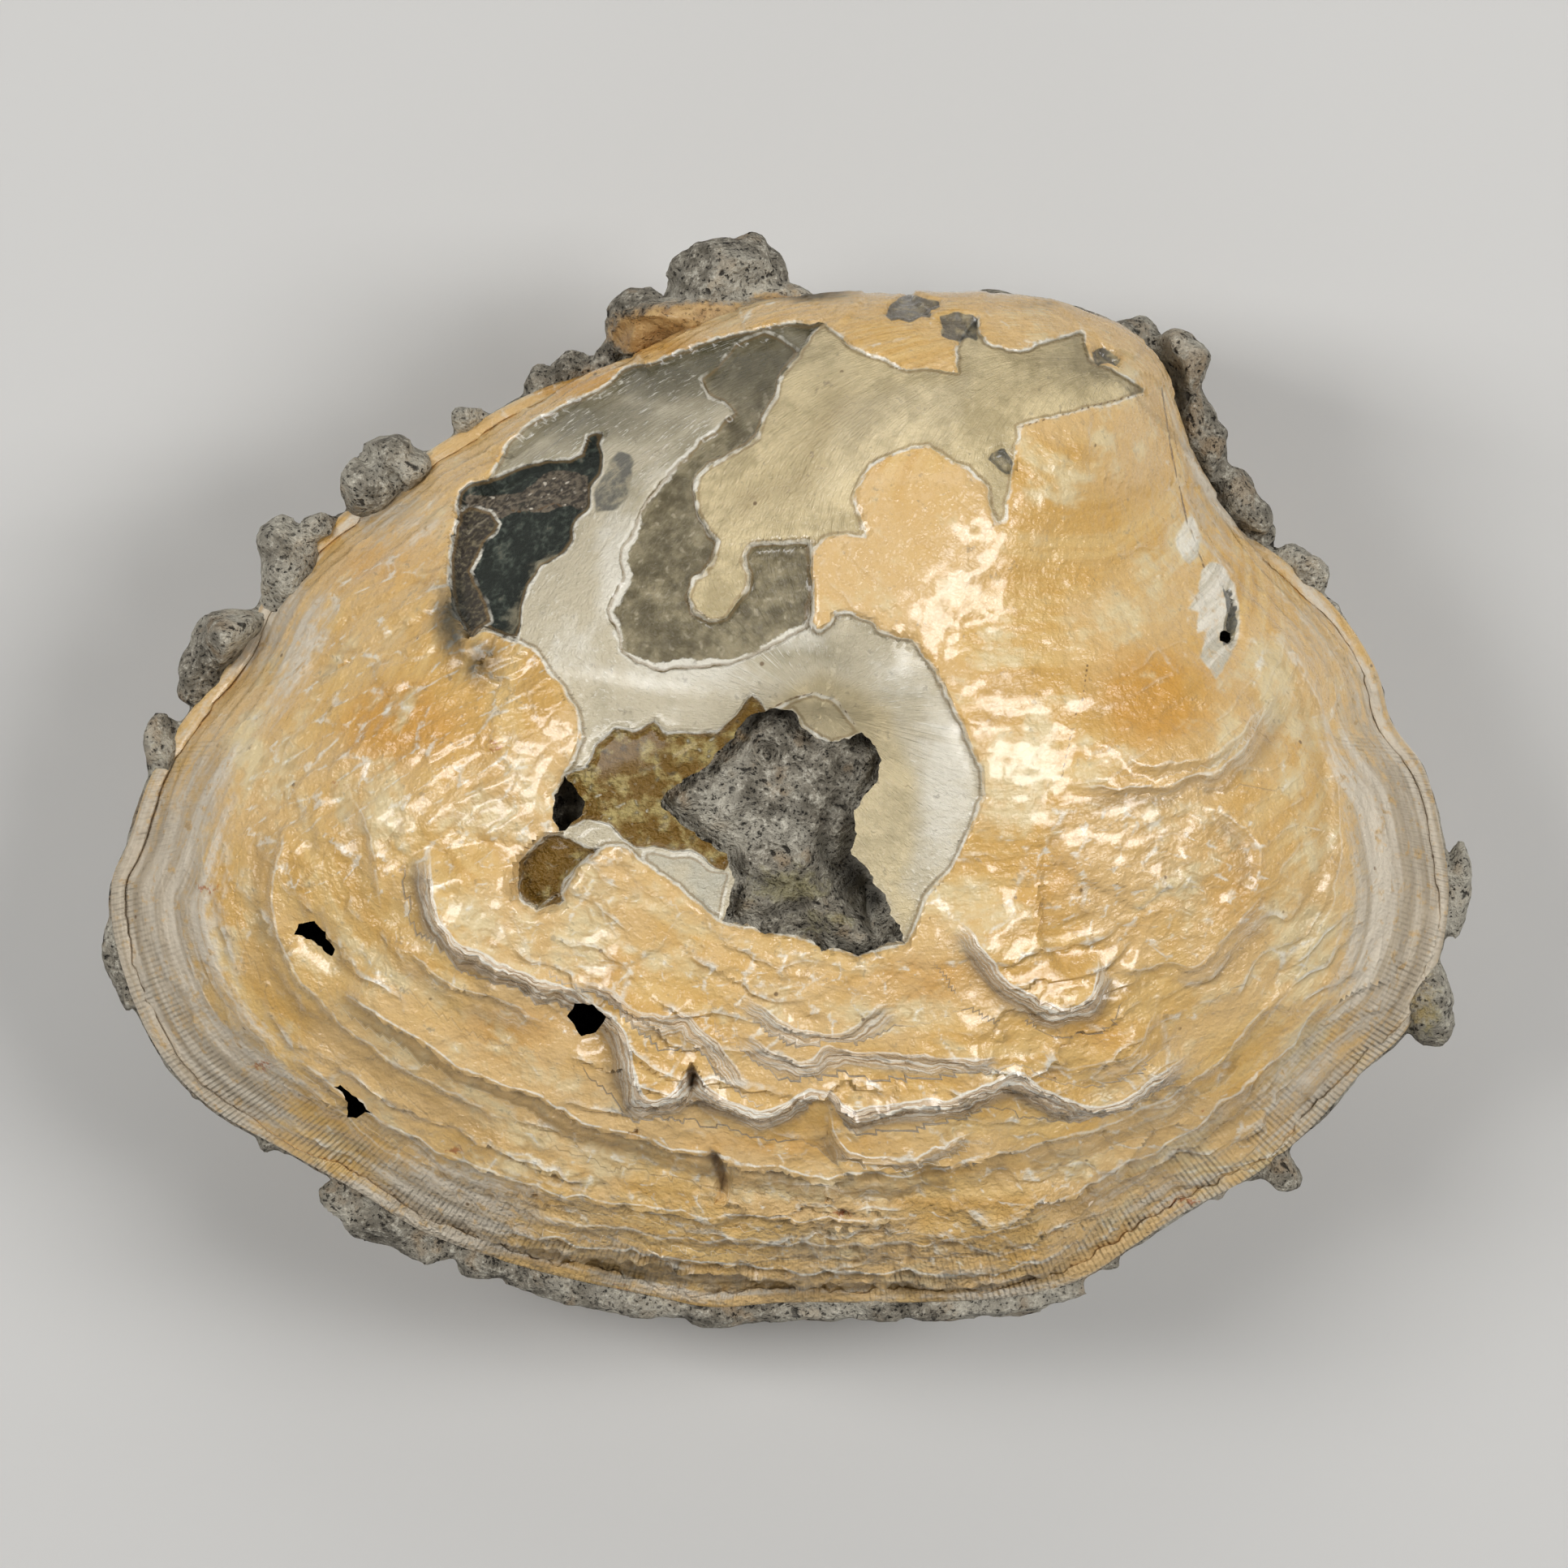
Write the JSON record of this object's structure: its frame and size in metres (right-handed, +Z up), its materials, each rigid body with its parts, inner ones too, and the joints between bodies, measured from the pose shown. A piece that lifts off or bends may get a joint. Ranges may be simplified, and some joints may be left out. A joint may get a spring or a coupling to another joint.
{
  "type": "fossil clam",
  "caption": "Fossil clam with both valves closed on sandstone, honey and pearly shell layers flaked around a hole, resting on a small flat spot",
  "frame": {"origin": "on the ground under the middle of the fossil's bounding box", "axes": "+X along the shell towards its rounded front end, +Y from the free margin towards the hinge, +Z up from the resting spot through both valves"},
  "size_m": [0.113, 0.0898, 0.0551],
  "materials": {
    "honey_shell": "glossy honey, cream and pearl-grey layered calcite",
    "worn_shell": "satin weathered shell with growth ledges",
    "sandstone": "matt grey porous sandstone with pale and dark grains"
  },
  "bodies": {
    "root": {"upper_valve": "honey_shell", "lower_valve": "worn_shell", "sandstone_matrix": "sandstone"}
  },
  "joints": []
}
